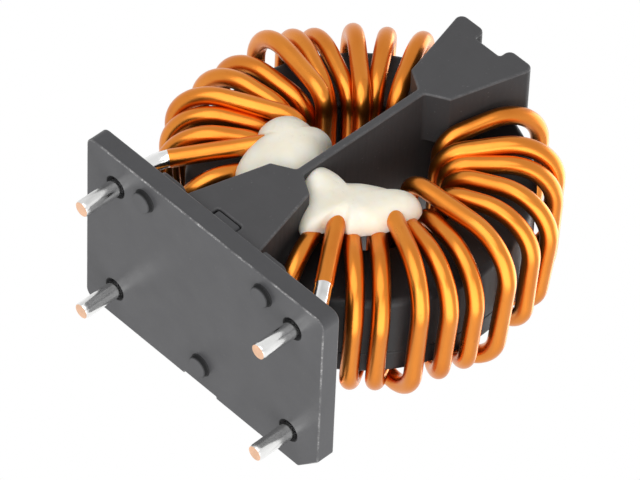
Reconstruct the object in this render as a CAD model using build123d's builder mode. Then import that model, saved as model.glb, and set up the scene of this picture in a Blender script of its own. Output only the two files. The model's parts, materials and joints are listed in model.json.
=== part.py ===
from build123d import *
import math
import os

# Upright toroid choke with two windings, standing on a circuit board. Sizes are in millimetres.
# X runs along the base plate, Y along the ring's axis and Z up from the board.
# The origin is the middle of the four pins, on the plane of the feet's undersides.

# Wire and pins
wire_d = 2.15
wire_sides = 8
bend_chord = 2.7
least_bend_steps = 2
pin_pitch_x = 30.0
pin_pitch_y = 17.5
pin_reach = 4.65

# Base plate
plate_margin_x = 5.0
plate_margin_y = 4.75
plate_t = 2.55
plate_corner_r = 1.2
plate_chamfer = 3.2
plate_edge = 0.2
lead_clearance = 0.25
foot_d = 2.8
foot_h = 0.7
foot_spread_x = 20.0
foot_front_inset = 3.1
foot_rear_inset = 3.7
gate_w = 5.5
gate_depth = 0.35

# Stops on the plate, beside the separator's foot
stop_x = 4.0
stop_y = 2.0
stop_h = 0.8
stop_setback = 0.6
stop_round_share = 0.4

# Separator
sep_wide = 12.7
sep_narrow = 6.7
sep_block_setback = 0.1
sep_head_rise = 1.3
sep_nose = 1.6
sep_wall_t = 1.1
sep_setback = 1.0
sep_wall_proud = 2.0
sep_wall_gap = 0.2
sep_corner_r = 0.9
notch_w = 4.1
notch_depth = 1.7
key_clearance = 0.15
key_headroom = 0.45
key_inset = 0.5

# Ring case and core
case_bore = 23.5
case_band = 9.0
case_h = 12.0
case_front = 4.8
case_wall = 1.0
case_edge = 0.8
case_seam_share = 0.71
seam_groove = 0.25
core_clearance = 0.25
ring_lift = 2.2

# Windings: each wire climbs the ring close to the case and returns over it, in every second groove
turn_slack = 0.1
turn_gap = 0.05
climb_pitch_share = 1.4
groove_share = 0.5
return_step = 2
front_bulge = 2.0
return_bulge = 3.0
rear_bulge = 0.4
outer_slack = 1.0
separator_clearance = 0.2
inner_bend_r = 2.0
bow_bend_share = 0.8
second_bend_r = 2.6
front_bend_r = 5.0
rear_bend_r = 3.6
lead_bend_r = 2.6
lead_knee_r = 6.0
lead_rise = 1.6
rear_knee_share = 0.35
slant_share = 0.15
right_lean_shares = (0.1, 0.2, 0.5, -0.25, 0.1, 0.2, -0.6, -0.3, -0.25, -0.6, -0.25, -0.15, -0.1)
left_lean_shares = (0.6, 0.2, 1.0, 0.15, 0.15, 0.6, 0.1, 0.45, 0.55, -0.4, 0.0, 0.25, -0.25)
right_loose_shares = (0.0, 0.0, 0.0, 0.0, 0.0, 0.0, 0.15, 0.35, 0.4, 0.55, 0.3, 0.05, 0.05)
left_loose_shares = (0.0, 0.0, 0.05, 0.4, 0.55, 0.25, 0.3, 0.4, 0.3, 0.35, 0.2, 0.2, 0.2)
right_bow_shares = (0.1, 1.0, 0.2, 0.2, 1.15, 0.5, 0.3, 1.5, 0.8, 0.65, 1.5, 1.0, 1.1)
left_bow_shares = (0.1, 1.15, 0.5, 0.8, 1.45, 0.9, 0.9, 1.75, 0.9, 0.6, 1.1, 0.5, 0.65)

# Adhesive over the first inner bends: reach of its outline in equal steps round its middle
glue_mid_r = 10.24
glue_reach = 7.0
glue_t = 2.1
glue_clearance = 0.15
glue_slot_count = 6
right_glue_angle = 37.7
left_glue_angle = 34.5
right_glue_shares = (0.86, 1.03, 1.12, 0.84, 0.62, 0.53, 0.55, 0.86, 0.75, 0.74, 0.9, 0.72, 0.57, 0.7)
left_glue_shares = (0.8, 0.66, 0.74, 0.82, 0.78, 0.78, 0.67, 0.45, 0.36, 0.46, 0.7, 0.6, 0.5, 0.62)
glue_level_shares = (0.0, 0.45, 0.8, 1.0)
glue_size_shares = (1.0, 0.98, 0.86, 0.6)

overrun = 1.0

# Places that follow from the sizes
half_circle = 180
wire_r = wire_d / 2
plate_x = pin_pitch_x + 2 * plate_margin_x
plate_y = pin_pitch_y + 2 * plate_margin_y
plate_top = foot_h + plate_t
case_mid_r = (case_bore + case_band) / 2
case_outer_r = case_bore / 2 + case_band
ring_z = plate_top + ring_lift + case_outer_r
ring_top = ring_z + case_outer_r
case_rear = case_h - case_front
seam_y = case_h * case_seam_share - case_front
sep_front = plate_y / 2 - sep_setback
sep_top = ring_top + sep_head_rise
sep_block_len = ring_lift + case_band - sep_block_setback
sep_nose_len = sep_block_len + sep_nose
block_depth = sep_front - case_front
ring_axis = Axis((0, 0, ring_z), (0, 1, 0))
ring_plane = Plane.XY.offset(ring_z)

os.makedirs("parts", exist_ok=True)


# Base plate: one moulding, drawn from above and raised on its three feet
with BuildPart() as base_plate:
    with BuildSketch(Plane.XY.offset(foot_h)) as plate_outline:
        Rectangle(plate_x, plate_y)
        marked_corner = plate_outline.vertices().sort_by(Axis.X)[-2:].sort_by(Axis.Y)[-1]
        chamfer(marked_corner, plate_chamfer)
        round_corners = plate_outline.vertices().sort_by(Axis.X)[:2]
        round_corners += plate_outline.vertices().sort_by(Axis.Y).sort_by(Axis.X)[-2:].sort_by(Axis.Y)[:1]
        fillet(round_corners, plate_corner_r)
        with Locations((0, plate_y / 2)):
            Rectangle(gate_w, gate_depth * 2, mode=Mode.SUBTRACT)
    extrude(amount=plate_t)
    chamfer(base_plate.faces().sort_by(Axis.Z)[0].outer_wire().edges(), plate_edge)
    foot_front_y = foot_front_inset - plate_y / 2
    feet = [
        (-foot_spread_x / 2, foot_front_y),
        (foot_spread_x / 2, foot_front_y),
        (0, plate_y / 2 - foot_rear_inset),
    ]
    with BuildSketch(Plane.XY.offset(foot_h)):
        with Locations(*feet):
            Circle(foot_d / 2)
    extrude(amount=-foot_h)
    with BuildSketch(Plane.XY.offset(plate_top)):
        with Locations((0, -sep_front + block_depth / 2)):
            Rectangle(notch_w - 2 * key_clearance, block_depth - 2 * key_inset)
    extrude(amount=notch_depth - key_headroom)
    with BuildSketch(Plane.XY.offset(plate_top)):
        stop_place = (sep_wide / 2 + key_clearance + stop_x / 2, -plate_y / 2 + stop_setback + stop_y / 2)
        with Locations(stop_place, (-stop_place[0], stop_place[1])):
            RectangleRounded(stop_x, stop_y, stop_y * stop_round_share)
    extrude(amount=stop_h)
    with BuildSketch(Plane.XY.offset(foot_h - overrun)):
        with GridLocations(pin_pitch_x, pin_pitch_y, 2, 2):
            Circle(wire_r + lead_clearance)
    extrude(amount=plate_t + 2 * overrun, mode=Mode.SUBTRACT)
base_plate.part.label = "base_plate"
export_step(base_plate.part, "parts/base_plate.step")


def wedge_outline(end_z, up):
    """Corners of a separator block, from its end face to where its nose meets the wall."""
    return [
        (-sep_wide / 2, end_z),
        (-sep_narrow / 2, end_z + up * sep_block_len),
        (-sep_wall_t / 2, end_z + up * sep_nose_len),
        (sep_wall_t / 2, end_z + up * sep_nose_len),
        (sep_narrow / 2, end_z + up * sep_block_len),
        (sep_wide / 2, end_z),
    ]


# Separator: foot and head blocks in front of the ring, and a thin wall through its hole
with BuildPart() as separator:
    with BuildSketch(Plane.XZ.offset(sep_front)):
        with BuildLine():
            Polyline(*wedge_outline(plate_top, 1), close=True)
        make_face()
        with Locations((0, plate_top)):
            Rectangle(notch_w, 2 * notch_depth, mode=Mode.SUBTRACT)
    extrude(amount=-block_depth)
    with BuildSketch(Plane.XZ.offset(sep_front)) as head_outline:
        with BuildLine():
            Polyline(*wedge_outline(sep_top, -1), close=True)
        make_face()
        with Locations((0, sep_top)):
            Rectangle(notch_w, 2 * notch_depth, mode=Mode.SUBTRACT)
        fillet(head_outline.vertices().group_by(Axis.Y)[-1], sep_corner_r)
    extrude(amount=-block_depth)
    with BuildSketch(Plane.XZ.offset(sep_front)):
        with Locations((0, ring_z)):
            Rectangle(sep_wall_t, case_bore - 2 * sep_wall_gap)
    extrude(amount=-(sep_front + case_rear + sep_wall_proud))
separator.part.label = "separator"
export_step(separator.part, "parts/separator.step")


# Ring case: a deep cup and a shallow lid, rim to rim, with a groove along their outer seam
channel_band = case_band - 2 * case_wall
with BuildPart() as case_cup:
    with BuildSketch(ring_plane) as cup_section:
        with Locations((case_mid_r, -case_front)):
            Rectangle(case_band, seam_y + case_front, align=(Align.CENTER, Align.MIN))
        chamfer(cup_section.vertices().group_by(Axis.Y)[0], case_edge)
        with Locations((case_mid_r, -case_front + case_wall)):
            Rectangle(channel_band, case_h, align=(Align.CENTER, Align.MIN), mode=Mode.SUBTRACT)
    revolve(axis=ring_axis)
case_cup.part.label = "case_cup"
export_step(case_cup.part, "parts/case_cup.step")

with BuildPart() as case_lid:
    with BuildSketch(ring_plane) as lid_section:
        with Locations((case_mid_r, seam_y)):
            Rectangle(case_band, case_rear - seam_y, align=(Align.CENTER, Align.MIN))
        chamfer(lid_section.vertices().group_by(Axis.Y)[-1], case_edge)
        chamfer(lid_section.vertices().group_by(Axis.Y)[0].sort_by(Axis.X)[-1], seam_groove)
        with Locations((case_mid_r, case_rear - case_wall)):
            Rectangle(channel_band, case_h, align=(Align.CENTER, Align.MAX), mode=Mode.SUBTRACT)
    revolve(axis=ring_axis)
case_lid.part.label = "case_lid"
export_step(case_lid.part, "parts/case_lid.step")

# Ferrite ring, loose by a small clearance in the case
with BuildPart() as ferrite_core:
    with BuildSketch(ring_plane):
        with Locations((case_mid_r, (case_rear - case_front) / 2)):
            Rectangle(channel_band - 2 * core_clearance, case_h - 2 * case_wall - 2 * core_clearance)
    revolve(axis=ring_axis)
ferrite_core.part.label = "ferrite_core"
export_step(ferrite_core.part, "parts/ferrite_core.step")


# Winding radii and levels, to the middle of the wire
bore_r = case_bore / 2 - wire_r - turn_slack
outer_r = case_outer_r + wire_r + outer_slack
front_level = -case_front - wire_r - turn_slack
rear_level = case_rear + wire_r + turn_slack
rear_over = rear_level + rear_bulge + wire_d + turn_slack


def clear_angle(half_width, reach):
    """Angle at which a radial wire run just clears a corner at this half width and reach from the axis."""
    room = wire_r + separator_clearance
    return math.degrees(math.asin(room / math.hypot(half_width, reach)) + math.atan2(half_width, reach))


foot_corner_reach = ring_z - plate_top - sep_block_len
head_corner_reach = sep_top - sep_block_len - ring_z
first_angle = max(
    clear_angle(sep_narrow / 2, foot_corner_reach),
    clear_angle(sep_wide / 2, ring_z - plate_top),
)
last_angle = half_circle - max(
    clear_angle(sep_narrow / 2, head_corner_reach),
    clear_angle(sep_wide / 2, sep_top - ring_z),
)
climb_count = math.floor(math.radians(last_angle - first_angle) * bore_r / (wire_d * climb_pitch_share)) + 1
climb_pitch = (last_angle - first_angle) / (climb_count - 1)
climbing = list(range(climb_count))
returning = [place + groove_share for place in range(0, climb_count - 1, return_step)]
slots = sorted(climbing + returning)
turn_pitch = (last_angle - first_angle) / (len(slots) - 1)

# A returning wire rests in the groove between two climbing wires
groove_half = bore_r * math.sin(math.radians(climb_pitch * groove_share))
groove_drop = math.sqrt(max((wire_d + turn_gap) ** 2 - groove_half**2, 0))
second_r = bore_r * math.cos(math.radians(climb_pitch * groove_share)) - groove_drop


def on_ring(side, radius, angle, level):
    """Point on the ring at an angle from straight down, with side 1 on the right and -1 on the left."""
    turn = math.radians(angle)
    return Vector(side * radius * math.sin(turn), level, ring_z - radius * math.cos(turn))


def winding_corners(side, lean_shares, loose_shares, bow_shares):
    """Corners of one wire from its rear pin to its front pin, each with the radius of its bend.

    The wire passes the bore from rear to front in every turn, bows over the front face, goes back along
    the outer wall and crosses the rear face to the next slot. It climbs in the slots that touch the
    case, then returns in the grooves between them, one wire over the rear runs.
    """
    order = climbing + list(reversed(returning))
    pin_x = side * pin_pitch_x / 2
    pin_y = pin_pitch_y / 2
    bend_z = plate_top + lead_rise
    first_inner = on_ring(side, bore_r, first_angle, rear_over)
    rear_bend = Vector(pin_x, pin_y, bend_z)
    rear_knee = rear_bend + (first_inner - rear_bend) * rear_knee_share
    corners = [
        (Vector(pin_x, pin_y, 0), 0),
        (rear_bend, lead_bend_r),
        (Vector(rear_knee.X, rear_over, rear_knee.Z), lead_knee_r),
    ]
    arriving = rear_over
    for slot, following in zip(order, order[1:] + [None]):
        habit = slots.index(slot) * len(lean_shares) // len(slots)
        angle = first_angle + slot * climb_pitch
        lean = angle + lean_shares[habit] * turn_pitch
        loose_r = outer_r + loose_shares[habit] * wire_d
        bow = bow_shares[habit] * wire_d
        second = slot in returning
        inner_r = second_r if second else bore_r
        rear_inner_r = second_bend_r if second else inner_bend_r
        front_inner_r = second_bend_r if second else inner_bend_r + bow_bend_share * bow
        corners.append((on_ring(side, inner_r, angle, arriving), rear_inner_r))
        corners.append((on_ring(side, inner_r, angle, front_level - bow), front_inner_r))
        if following is None:
            break
        bulge = return_bulge if second else front_bulge + bow
        arriving = rear_over if following in returning else rear_level
        outer_rear = on_ring(side, loose_r, lean - slant_share * turn_pitch, arriving + rear_bulge)
        corners.append((on_ring(side, loose_r, lean, front_level - bulge), front_bend_r))
        corners.append((outer_rear, rear_bend_r))
    corners.append((Vector(pin_x, -pin_y, bend_z), lead_bend_r))
    corners.append((Vector(pin_x, -pin_y, 0), 0))
    return corners


def bent_route(corners):
    """Points along straight runs and round bends, each bend in equal chords on its arc."""
    points = [corners[0][0]]
    for before, here, after in zip(corners, corners[1:], corners[2:]):
        corner, radius = here
        back = (before[0] - corner).normalized()
        ahead = (after[0] - corner).normalized()
        half_turn = math.radians(half_circle - back.get_angle(ahead)) / 2
        middle = (back + ahead).normalized()
        centre = corner + middle * (radius / math.cos(half_turn))
        sideways = (ahead - back).normalized()
        steps = max(math.ceil(2 * half_turn * radius / bend_chord), least_bend_steps)
        for step in range(steps + 1):
            swing = half_turn * (2 * step / steps - 1)
            points.append(centre + (sideways * math.sin(swing) - middle * math.cos(swing)) * radius)
    points.append(corners[-1][0])
    return points


# Windings: one wire each, from a rear pin through all its turns to a front pin, round below the feet
windings = {
    "winding_right": (1, right_lean_shares, right_loose_shares, right_bow_shares),
    "winding_left": (-1, left_lean_shares, left_loose_shares, left_bow_shares),
}
for name, habits in windings.items():
    route_points = bent_route(winding_corners(*habits))
    with BuildPart() as winding:
        with BuildLine() as route:
            Polyline(*route_points)
        with BuildSketch(Plane(route_points[0], z_dir=route_points[1] - route_points[0])):
            RegularPolygon(wire_r, wire_sides)
        sweep(path=route.wire(), transition=Transition.RIGHT)
        with BuildSketch(Plane.XY.offset(-pin_reach)):
            with Locations(*[(end.X, end.Y) for end in (route_points[0], route_points[-1])]):
                Circle(wire_r)
        extrude(amount=pin_reach)
    winding.part.label = name
    export_step(winding.part, f"parts/{name}.step")


# Adhesive: a domed bead in front of the first inner bends, up against the separator
beads = {
    "glue_right": (1, right_glue_angle, right_glue_shares),
    "glue_left": (-1, left_glue_angle, left_glue_shares),
}
glue_back = front_level - wire_d * max(left_bow_shares[:glue_slot_count]) - wire_r - glue_clearance
for name, (side, angle, reach_shares) in beads.items():
    bead_mid = on_ring(side, glue_mid_r, angle, 0)
    with BuildPart() as glue:
        for level_share, size_share in zip(glue_level_shares, glue_size_shares):
            outline = []
            for step, reach_share in enumerate(reach_shares):
                direction = math.radians(2 * half_circle * step / len(reach_shares))
                reach = glue_reach * size_share * reach_share
                from_wall = side * (bead_mid.X + reach * math.cos(direction)) - sep_wall_t / 2
                x = side * (max(from_wall, 0) + sep_wall_t / 2)
                outline.append((x, bead_mid.Z + reach * math.sin(direction)))
            with BuildSketch(Plane.XZ.offset(glue_t * level_share - glue_back)):
                with BuildLine():
                    Spline(*outline, periodic=True)
                make_face()
        loft(ruled=True)
        add(separator.part, mode=Mode.SUBTRACT)
    glue.part.label = name
    export_step(glue.part, f"parts/{name}.step")
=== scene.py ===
import json

import bpy
import numpy as np
from bpy.props import FloatProperty, FloatVectorProperty, PointerProperty
from mathutils import Matrix, Vector
from mathutils.geometry import delaunay_2d_cdt


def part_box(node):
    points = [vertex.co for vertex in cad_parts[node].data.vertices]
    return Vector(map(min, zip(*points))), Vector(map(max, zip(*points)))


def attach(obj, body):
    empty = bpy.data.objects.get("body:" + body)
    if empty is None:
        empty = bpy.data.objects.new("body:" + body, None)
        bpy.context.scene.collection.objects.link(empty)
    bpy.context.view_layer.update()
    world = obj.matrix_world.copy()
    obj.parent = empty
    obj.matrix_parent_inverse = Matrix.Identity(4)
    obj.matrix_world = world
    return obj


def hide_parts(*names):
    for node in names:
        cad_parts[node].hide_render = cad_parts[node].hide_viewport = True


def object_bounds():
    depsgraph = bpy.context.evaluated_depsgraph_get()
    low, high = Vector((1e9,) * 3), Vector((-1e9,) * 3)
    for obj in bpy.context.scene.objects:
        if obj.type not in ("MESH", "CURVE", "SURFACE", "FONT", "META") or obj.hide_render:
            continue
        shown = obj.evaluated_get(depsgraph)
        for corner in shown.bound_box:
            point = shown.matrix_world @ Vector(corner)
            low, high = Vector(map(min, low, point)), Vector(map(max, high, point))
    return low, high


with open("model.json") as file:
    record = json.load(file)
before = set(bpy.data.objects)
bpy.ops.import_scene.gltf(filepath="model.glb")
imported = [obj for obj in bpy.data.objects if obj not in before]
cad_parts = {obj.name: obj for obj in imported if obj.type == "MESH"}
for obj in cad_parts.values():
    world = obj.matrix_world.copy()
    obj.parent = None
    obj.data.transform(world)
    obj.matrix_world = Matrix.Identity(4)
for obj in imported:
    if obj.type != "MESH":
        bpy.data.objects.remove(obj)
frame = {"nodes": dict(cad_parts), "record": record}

bl_info = {
    "name": "Toroid choke",
    "version": (1, 0, 0),
    "blender": (4, 5, 0),
    "location": "3D View > Sidebar > Choke",
    "description": "Mouldings, windings, adhesive and finishes of an upright toroid choke on a stage",
    "category": "Object",
}

# Lengths are in millimetres until a mesh is made. X runs along the base plate, Y along the ring's
# axis, Z up from the board.
MM = 0.001
CAD_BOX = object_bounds()


def node_box(name):
    """Lowest and highest corner of a CAD node, in millimetres."""
    return [np.array(corner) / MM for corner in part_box(name)]


# Places read from the frame
PLATE_LOW, PLATE_HIGH = node_box("base_plate")
SEPARATOR_LOW, SEPARATOR_HIGH = node_box("separator")
CUP_LOW, CUP_HIGH = node_box("case_cup")
LID_HIGH = node_box("case_lid")[1]
PINS = next(m for m in frame["record"]["mounts"] if m["name"] == "pins")["dims"]
PIN_X, PIN_Y = PINS["spacing_x_mm"] / 2, PINS["spacing_y_mm"] / 2
WIRE_R = PINS["stud_r_mm"]
PIN_TIP = node_box("winding_right")[0][2]
PLATE_TOP = SEPARATOR_LOW[2]
RING_Z = (CUP_LOW[2] + CUP_HIGH[2]) / 2
CASE_OUTER_R = (CUP_HIGH[2] - CUP_LOW[2]) / 2
CASE_FRONT, SEAM_Y, CASE_REAR = CUP_LOW[1], CUP_HIGH[1], LID_HIGH[1]

# Base plate
FOOT_H = 0.7
FOOT_R = 1.4
FOOT_SPREAD_X = 10.0
FOOT_FRONT_INSET = 3.1
FOOT_REAR_INSET = 3.7
PLATE_CORNER_R = 1.2
PLATE_CHAMFER = 3.2
CHAMFER_CORNER_R = 0.5
GATE_HALF = 2.75
GATE_DEPTH = 0.35
GATE_OUTER_R = 0.2
GATE_INNER_R = 0.08
HOLE_CLEARANCE = 0.33
STOP_SIZE = (4.0, 2.0)
STOP_H = 0.8
STOP_R = 0.8
STOP_SETBACK = 0.6
KEY_INSET = 0.1
KEY_H = 1.55
KEY_PLAY = 0.15
KEY_R = 0.4

# Narrow flat beside a round, which keeps its shading off the faces
SUPPORT = 0.03

# Edge wear and painted shade of the plastics: 1 is rubbed pale, 0 is plain and -1 is fully dark painted shade
PLATE_UNDER_WEAR = 1.0
PLATE_TOP_WEAR = 0.4
SEPARATOR_WEAR = 0.15
SEPARATOR_SIDE_PAINTED_SHADE = -0.55
PAINTED_SHADE = -1.0

# Middle roughness of the plastics
PLATE_ROUGHNESS = 0.36
SEPARATOR_ROUGHNESS = 0.44
CASE_ROUGHNESS = 0.42

# Separator
SEP_WIDE = SEPARATOR_HIGH[0]
SEP_NARROW = 3.35
SEP_BLOCK_LEN = 11.1
SEP_NOSE_LEN = 12.7
SEP_WALL = 0.55
SEP_WALL_REACH = 11.55
SEP_END_R = 0.9
SEP_CORNER_R = 0.36
NOSE_R = 0.6
WALL_EDGE = 0.15
NOTCH_HALF = 2.05
NOTCH_DEPTH = 1.7

# Ring case
CASE_BAND = 9.0
CASE_WALL = 1.0
CASE_RIM_R = 0.08
SEAM_GROOVE = 0.25
CASE_STEPS = 256

# Windings, to the middle of the wire: climbing turns from the foot to the head of the separator, and
# returning turns in every second groove between them
CLIMBS = 9
RETURN_STEP = 2
RIGHT_FIRST = 21.73
LEFT_FIRST = 36.5
LAST_ANGLE = 156.6
LEAN_PITCH = 11.24
TURN_SLACK = 0.1
GROOVE_DROP = 1.675
OUTER_GAP = 1.0
REAR_DRAW_IN = 0.325
WIRE_D = 2 * WIRE_R
BORE_R = CASE_OUTER_R - CASE_BAND - WIRE_R - TURN_SLACK
SECOND_R = BORE_R - GROOVE_DROP
OUTER_R = CASE_OUTER_R + WIRE_R + OUTER_GAP
FRONT_LEVEL = CASE_FRONT - WIRE_R - TURN_SLACK
REAR_LEVEL = CASE_REAR + WIRE_R + TURN_SLACK
REAR_R = OUTER_R - REAR_DRAW_IN
FRONT_BULGE = 2.0
RETURN_BULGE = 0.7
REAR_BULGE = 0.4
REAR_DIP = 1.3
REAR_OVER = REAR_LEVEL + REAR_BULGE + WIRE_D + TURN_SLACK
INNER_BEND_R = 2.0
BOW_BEND_SHARE = 0.8
SECOND_BEND_R = 2.6
FRONT_BEND_R = 5.8
REAR_BEND_R = 3.6
RETURN_REAR_BEND_R = 4.6
LEAD_BEND_R = 2.6
FRONT_LEAD_BEND_R = 5.0
LEAD_KNEE_R = 6.0
LEAD_RISE = 1.6
LEFT_LEAD_RISE = 4.0
REAR_KNEE_SHARE = 0.35
SLANT_SHARE = 0.15
PATH_STEP = 0.32
PATH_BLUR = 0.5
ARC_STEPS = 24

# Habits of the turns in order of their angle: lean round the ring in pitches, and in wire diameters the
# slack at the outer wall, the bow over the front and the way that an inner bend sinks in
RIGHT_LEAN = (0.1, 0.2, 0.55, -0.27, 0.0, 0.06, -0.65, -0.4, 0.1, -0.55, 0.2, 0.05, 0.19)
LEFT_LEAN = (-0.8, 0.0, -0.33, -0.72, -0.83, -0.22, -0.68, -0.25, -0.05, -0.78, -0.29, 0.05, -0.24)
RIGHT_LOOSE = (0.0, 0.0, 0.05, 0.15, 0.25, 0.4, 0.35, 0.5, 0.15, 0.6, 0.1, 0.3, 0.2)
LEFT_LOOSE = (0.1, 0.0, 0.5, 0.65, 0.7, 0.55, 0.6, 0.35, 0.45, 0.55, 0.2, 0.2, 0.2)
RIGHT_BOW = (0.7, 1.7, 0.65, 0.6, 1.6, 0.9, 0.5, 1.4, 0.85, 0.8, 0.8, 0.95, 0.65)
LEFT_BOW = (0.6, 2.0, 1.1, 0.85, 1.75, 1.05, 0.75, 1.9, 1.0, 0.6, 1.2, 0.8, 1.0)
RIGHT_SINK = (0.0, 0.0, 0.0, 0.0, 0.0, 0.0, 0.0, 0.85, 0.0, 0.0, -0.5, 0.75, 0.3)
LEFT_SINK = (0.0, 0.0, 0.0, 0.0, 0.25, 0.0, 0.0, 0.0, 0.0, 0.0, 0.0, 0.0, 0.3)

# Wire: thickness of its enamelled and tinned stretches as shares of the bare wire, and the cut at its tips
WIRE_SIDES = 24
ENAMEL_SHARE = 1.05
TIN_SHARE = 0.99
CUT_ROUND = 0.12
CUT_SHARE = 0.9
CUT_RIM_SHARE = 0.8
CUT_FACE_SHARE = 0.4
ENAMEL_STEP = 0.35
ENAMEL, TIN, CUT = range(3)

# Adhesive: corners of each bead's outline as (x, z), and its humps as (x, z, height, spread)
RIGHT_BEAD = (
    (0.9, 14.7), (3.2, 12.7), (4.9, 11.7), (5.9, 12.4), (6.4, 14.1), (7.5, 15.6), (8.8, 15.6), (9.7, 17.0),
    (10.8, 18.6), (11.4, 20.4), (11.9, 21.9), (12.1, 23.3), (11.6, 24.7), (10.4, 25.3), (9.3, 24.9),
    (8.5, 24.0), (7.2, 23.4), (4.8, 21.8), (3.0, 20.0), (1.9, 19.9), (0.6, 20.0), (-0.9, 19.2),
    (-1.2, 17.6), (-0.6, 16.0),
)
LEFT_BEAD = (
    (-8.6, 17.6), (-8.7, 16.0), (-8.1, 13.9), (-7.1, 12.4), (-5.6, 12.0), (-3.6, 12.8), (-2.0, 14.8),
    (-0.3, 16.8), (-0.3, 20.2), (-1.5, 22.0), (-2.5, 23.2), (-3.2, 24.3), (-4.4, 24.5), (-5.2, 23.7),
    (-6.4, 23.7), (-8.5, 23.2), (-10.0, 21.2), (-10.1, 19.0), (-9.3, 17.9),
)
RIGHT_HUMPS = ((0.3, 17.7, 1.5, 1.5), (10.6, 23.6, 0.4, 1.2))
LEFT_HUMPS = ((-6.8, 20.6, 1.1, 2.4), (-2.4, 18.4, 0.5, 2.4))
BEAD_FLOOR = 8.4
BEAD_ROUND = 3.6
BEAD_STEPS = 10
BEAD_ROWS = 28
BEAD_UNDER_SHARES = np.linspace(0.25, 0.94, 5)

# Meshes
SHARP_ANGLE = np.radians(50)
CAP_OUTPUT = 4
CAP_TOLERANCE = 1e-7

# Camera and lights in the frame's own axes. A light has a direction from the part and a side in metres
CAMERA_PLACE = (0.35288, -0.53204, -0.33661)
CAMERA_RIGHT = (0.68779, -0.02951, 0.72531)
CAMERA_UP = (-0.54303, -0.68400, 0.48710)
CAMERA_BACK = (0.48174, -0.72889, -0.48647)
CAMERA_SENSOR = 36.0
CAMERA_CLIP = 0.01
LIGHT_DISTANCE = 0.5
KEY_LIGHT = ((0.1, -0.85, -0.5), 0.6)
SIDE_LIGHT = ((0.77, 0.05, -0.63), 0.68)
TOP_LIGHT = ((0.25, 0.35, 0.9), 0.5)
FLOOR_REACH = 1.5
FLOOR_GAP = 0.02

# What glossy surfaces see of the room: this level in front, rising to white between two slopes of Y
GLOSS_FRONT = 0.8
GLOSS_SPAN = (-1.0, 0.3)


def length(name, millimetres, description):
    """A length that a user may change, stored in metres."""
    return FloatProperty(name=name, description=description, default=millimetres * MM, min=0.0,
                         unit="LENGTH", precision=5)


def share(name, value, description):
    """A plain factor that a user may change."""
    return FloatProperty(name=name, description=description, default=value, min=0.0, subtype="FACTOR")


def tint(name, rgb, description):
    """A surface colour that a user may change."""
    return FloatVectorProperty(name=name, description=description, default=rgb, size=3, min=0.0, max=1.0,
                               subtype="COLOR")


class ChokeSizes(bpy.types.PropertyGroup):
    """Sizes of the visible pieces."""

    plate_edge: length("Plate edge", 0.15, "Round on the base plate's edges")
    separator_edge: length("Separator edge", 0.25, "Round on the separator's front edges")
    case_edge: length("Case edge", 0.85, "Round on the case's outer edges")
    tinned: length("Tinned length", 13.0, "Length of bare tinned wire at each end")
    bead_top: length("Adhesive height", 11.4, "Distance of the adhesive's crown from the ring's middle plane")


class ChokeFinishes(bpy.types.PropertyGroup):
    """Colours of the finishes."""

    plate: tint("Plate plastic", (0.072, 0.072, 0.076), "Moulded plastic of the base plate")
    separator: tint("Separator plastic", (0.07, 0.069, 0.072), "Moulded plastic of the separator")
    case: tint("Case plastic", (0.014, 0.014, 0.015), "Moulded plastic of the ring case")
    worn: tint("Worn edge", (0.47, 0.465, 0.46), "Rubbed plastic along the edges")
    enamel: tint("Enamelled copper", (0.79, 0.28, 0.04), "Copper seen through its enamel")
    enamel_dark: tint("Enamel, thick", (0.62, 0.175, 0.018), "Copper where the enamel is thicker")
    tin: tint("Tinned wire", (0.90, 0.90, 0.89), "Solder on the wire's ends")
    cut: tint("Cut copper", (0.90, 0.57, 0.38), "Cut face at a pin's tip")
    adhesive: tint("Adhesive", (0.93, 0.885, 0.78), "Cream adhesive over the first bends")
    ferrite: tint("Ferrite", (0.035, 0.034, 0.036), "Sintered ring core")


class ChokeStage(bpy.types.PropertyGroup):
    """Camera, light and floor."""

    lens: FloatProperty(name="Lens", description="Focal length of the camera", default=348.98, unit="CAMERA")
    key_level: share("Key light", 0.75, "Level of the large soft light")
    side_level: share("Side light", 1.25, "Level of the low light from the side")
    top_level: share("Top light", 0.75, "Level of the light over the stage")
    room_level: share("Room light", 0.32, "Level of the even light from all round")
    floor: tint("Floor", (0.86, 0.86, 0.85), "Colour of the floor")


def unit(vectors):
    """Vectors divided by their lengths."""
    return vectors / np.linalg.norm(vectors, axis=-1, keepdims=True)


def corner_arcs(before, corner, after, radius, steps):
    """Arcs in place of corners: centre + radius (sin w · sideways - cos w · middle).

    The middle direction halves the corner, sideways runs across it, and w swings over the angle by
    which the outline turns there.
    """
    back, ahead = unit(before - corner), unit(after - corner)
    half_turn = (np.pi - np.arccos(np.clip(np.sum(back * ahead, axis=-1), -1, 1))) / 2
    middle, sideways = unit(back + ahead), unit(ahead - back)
    radius = np.broadcast_to(radius, half_turn.shape)
    centre = corner + middle * (radius / np.cos(half_turn))[:, None]
    swing = half_turn[:, None, None] * np.linspace(-1, 1, steps)[:, None]
    return centre[:, None] + radius[:, None, None] * (np.sin(swing) * sideways[:, None]
                                                     - np.cos(swing) * middle[:, None])


def rounded_loop(corners, radius, steps=7):
    """Closed outline through corners, each with its own radius and a point just outside both arc ends."""
    corners = np.array(corners, float)
    before, after = np.roll(corners, 1, 0), np.roll(corners, -1, 0)
    arcs = corner_arcs(before, corners, after, radius, steps)
    starts = arcs[:, :1] + SUPPORT * unit(before - corners)[:, None]
    ends = arcs[:, -1:] + SUPPORT * unit(after - corners)[:, None]
    return np.concatenate([starts, arcs, ends], axis=1).reshape(-1, corners.shape[1])


def circle_loop(x, y, radius, steps=48):
    """Circle: (x + r cos a, y + r sin a)."""
    angle = np.linspace(0, 2 * np.pi, steps, endpoint=False)
    return np.stack([x + radius * np.cos(angle), y + radius * np.sin(angle)], axis=1)


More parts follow.
